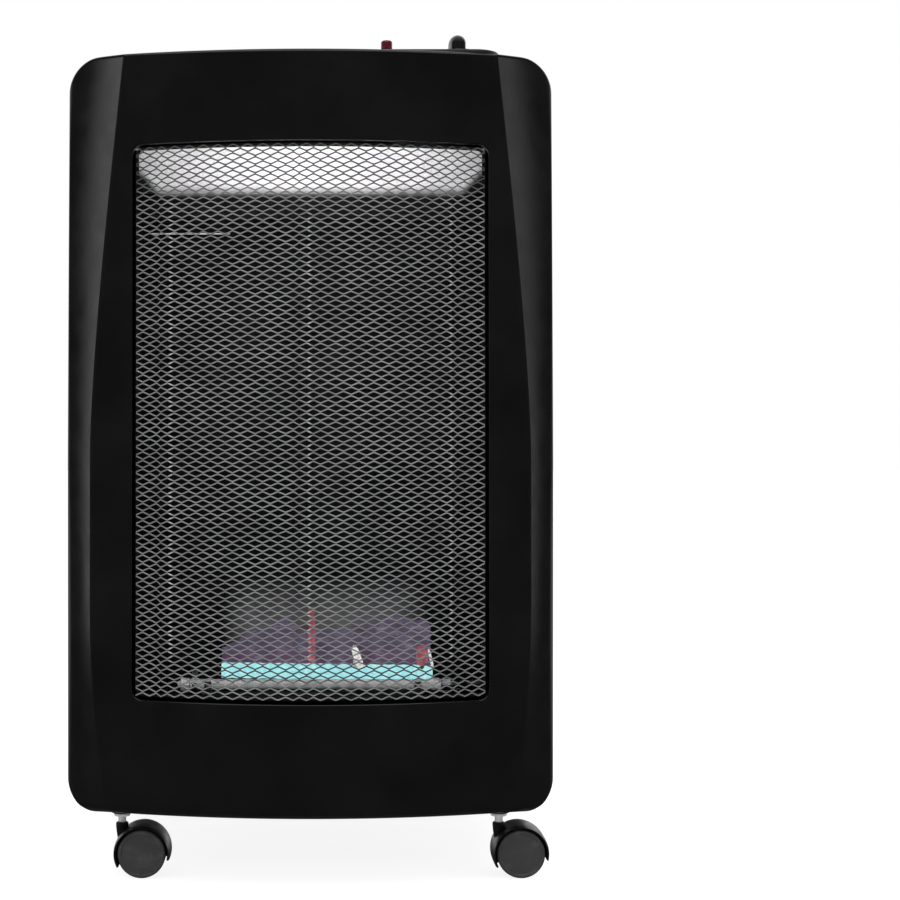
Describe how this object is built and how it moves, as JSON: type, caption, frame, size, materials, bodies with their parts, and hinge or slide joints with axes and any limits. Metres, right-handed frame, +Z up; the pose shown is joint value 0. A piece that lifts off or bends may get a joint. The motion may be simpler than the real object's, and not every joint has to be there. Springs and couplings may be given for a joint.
{
  "type": "portable gas cabinet heater",
  "caption": "Slim upright gas heater: bowed black front with a bright mesh window, burner behind, top knob and igniter, fold-down cylinder tray and swivel casters.",
  "frame": {"origin": "on the floor under the middle of the whole heater with its tray lowered", "axes": "+Z up, +X to the right seen from the front, +Y from the front to the rear"},
  "size_m": [0.42, 0.3867, 0.733],
  "materials": {
    "black_enamel": "gloss baked enamel",
    "satin_black": "satin powder coat",
    "sooted_steel": "heat-darkened matt",
    "guard_steel": "expanded metal, plated",
    "galvanised": "spangled bright sheet",
    "bright_steel": "bright plated",
    "brass": "turned",
    "black_plastic": "moulded satin",
    "grey_plastic": "moulded, fine texture",
    "red_plastic": "gloss",
    "white_ceramic": "glazed",
    "hot_steel": "glowing strip"
  },
  "bodies": {
    "cabinet": {"front_fascia": "black_enamel", "cabinet_shell": "black_enamel", "rear_frame": "satin_black", "rear_panel": "satin_black", "mesh_guard": "guard_steel", "chamber_bulkhead": "sooted_steel", "chamber_side_left": "sooted_steel", "chamber_side_right": "sooted_steel", "chamber_floor": "sooted_steel", "heat_deflector": "galvanised", "burner_tube": "bright_steel", "burner_head": "sooted_steel", "burner_bracket_left": "bright_steel", "burner_bracket_right": "bright_steel", "injector_nut": "brass", "tube_clamp": "bright_steel", "glow_bar": "hot_steel", "pilot_bracket": "bright_steel", "thermocouple": "brass", "ignition_electrode": "white_ceramic", "control_panel": "satin_black", "gas_valve": "brass", "piezo_body": "black_plastic", "gas_pipe": "bright_steel", "inlet_pipe": "bright_steel", "hose_nozzle": "brass", "hinge_bracket_left": "satin_black", "hinge_bracket_right": "satin_black", "guard_bracket": "satin_black", "caster_socket_front_left": "black_plastic", "caster_socket_front_right": "black_plastic"},
    "spindle": {"valve_stem": "brass"},
    "knob": {"control_knob": "black_plastic"},
    "igniter": {"igniter_button": "red_plastic"},
    "tray": {"base_tray": "satin_black", "tray_hinge_rod": "bright_steel", "caster_socket_rear_left": "black_plastic", "caster_socket_rear_right": "black_plastic"},
    "guard": {"rear_guard": "satin_black", "guard_hinge_rod": "bright_steel"},
    "swivel_front_left": {"caster_pin_front_left": "bright_steel", "caster_hood_front_left": "black_plastic"},
    "wheels_front_left": {"caster_axle_front_left": "bright_steel", "caster_wheel_outer_front_left": "grey_plastic", "caster_wheel_inner_front_left": "grey_plastic"},
    "swivel_front_right": {"caster_pin_front_right": "bright_steel", "caster_hood_front_right": "black_plastic"},
    "wheels_front_right": {"caster_axle_front_right": "bright_steel", "caster_wheel_outer_front_right": "grey_plastic", "caster_wheel_inner_front_right": "grey_plastic"},
    "swivel_rear_left": {"caster_pin_rear_left": "bright_steel", "caster_hood_rear_left": "black_plastic"},
    "wheels_rear_left": {"caster_axle_rear_left": "bright_steel", "caster_wheel_outer_rear_left": "grey_plastic", "caster_wheel_inner_rear_left": "grey_plastic"},
    "swivel_rear_right": {"caster_pin_rear_right": "bright_steel", "caster_hood_rear_right": "black_plastic"},
    "wheels_rear_right": {"caster_axle_rear_right": "bright_steel", "caster_wheel_outer_rear_right": "grey_plastic", "caster_wheel_inner_rear_right": "grey_plastic"}
  },
  "joints": [
    {"name": "tray_fold", "type": "hinge", "parent": "cabinet", "child": "tray", "pos_m": [0, -0.0466, 0.0635], "axis": [1, 0, 0], "range_deg": [0, 90]},
    {"name": "guard_swing", "type": "hinge", "parent": "cabinet", "child": "guard", "pos_m": [0, -0.0523, 0.678], "axis": [1, 0, 0], "range_deg": [0, 88.5]},
    {"name": "tap_push", "type": "slide", "parent": "cabinet", "child": "spindle", "axis": [0, 0, -1], "range_m": [0, 0.0025], "stiffness_N_per_m": 1200, "springref_m": -0.002},
    {"name": "tap_turn", "type": "hinge", "parent": "spindle", "child": "knob", "pos_m": [0.1287, -0.1058, 0.72], "axis": [0, 0, 1], "range_deg": [0, 180]},
    {"name": "igniter_press", "type": "slide", "parent": "cabinet", "child": "igniter", "axis": [0, 0, -1], "range_m": [0, 0.006], "stiffness_N_per_m": 700, "springref_m": -0.002},
    {"name": "swivel_turn_front_left", "type": "hinge", "parent": "cabinet", "child": "swivel_front_left", "pos_m": [-0.164, -0.1198, 0.05], "axis": [0, 0, 1], "continuous": true},
    {"name": "wheel_roll_front_left", "type": "hinge", "parent": "swivel_front_left", "child": "wheels_front_left", "pos_m": [-0.146, -0.1198, 0.0208], "axis": [0, 1, 0], "continuous": true},
    {"name": "swivel_turn_front_right", "type": "hinge", "parent": "cabinet", "child": "swivel_front_right", "pos_m": [0.164, -0.1198, 0.05], "axis": [0, 0, 1], "continuous": true},
    {"name": "wheel_roll_front_right", "type": "hinge", "parent": "swivel_front_right", "child": "wheels_front_right", "pos_m": [0.182, -0.1198, 0.0208], "axis": [0, 1, 0], "continuous": true},
    {"name": "swivel_turn_rear_left", "type": "hinge", "parent": "tray", "child": "swivel_rear_left", "pos_m": [-0.164, 0.1722, 0.05], "axis": [0, 0, 1], "continuous": true},
    {"name": "wheel_roll_rear_left", "type": "hinge", "parent": "swivel_rear_left", "child": "wheels_rear_left", "pos_m": [-0.146, 0.1722, 0.0208], "axis": [0, 1, 0], "continuous": true},
    {"name": "swivel_turn_rear_right", "type": "hinge", "parent": "tray", "child": "swivel_rear_right", "pos_m": [0.164, 0.1722, 0.05], "axis": [0, 0, 1], "continuous": true},
    {"name": "wheel_roll_rear_right", "type": "hinge", "parent": "swivel_rear_right", "child": "wheels_rear_right", "pos_m": [0.182, 0.1722, 0.0208], "axis": [0, 1, 0], "continuous": true}
  ]
}
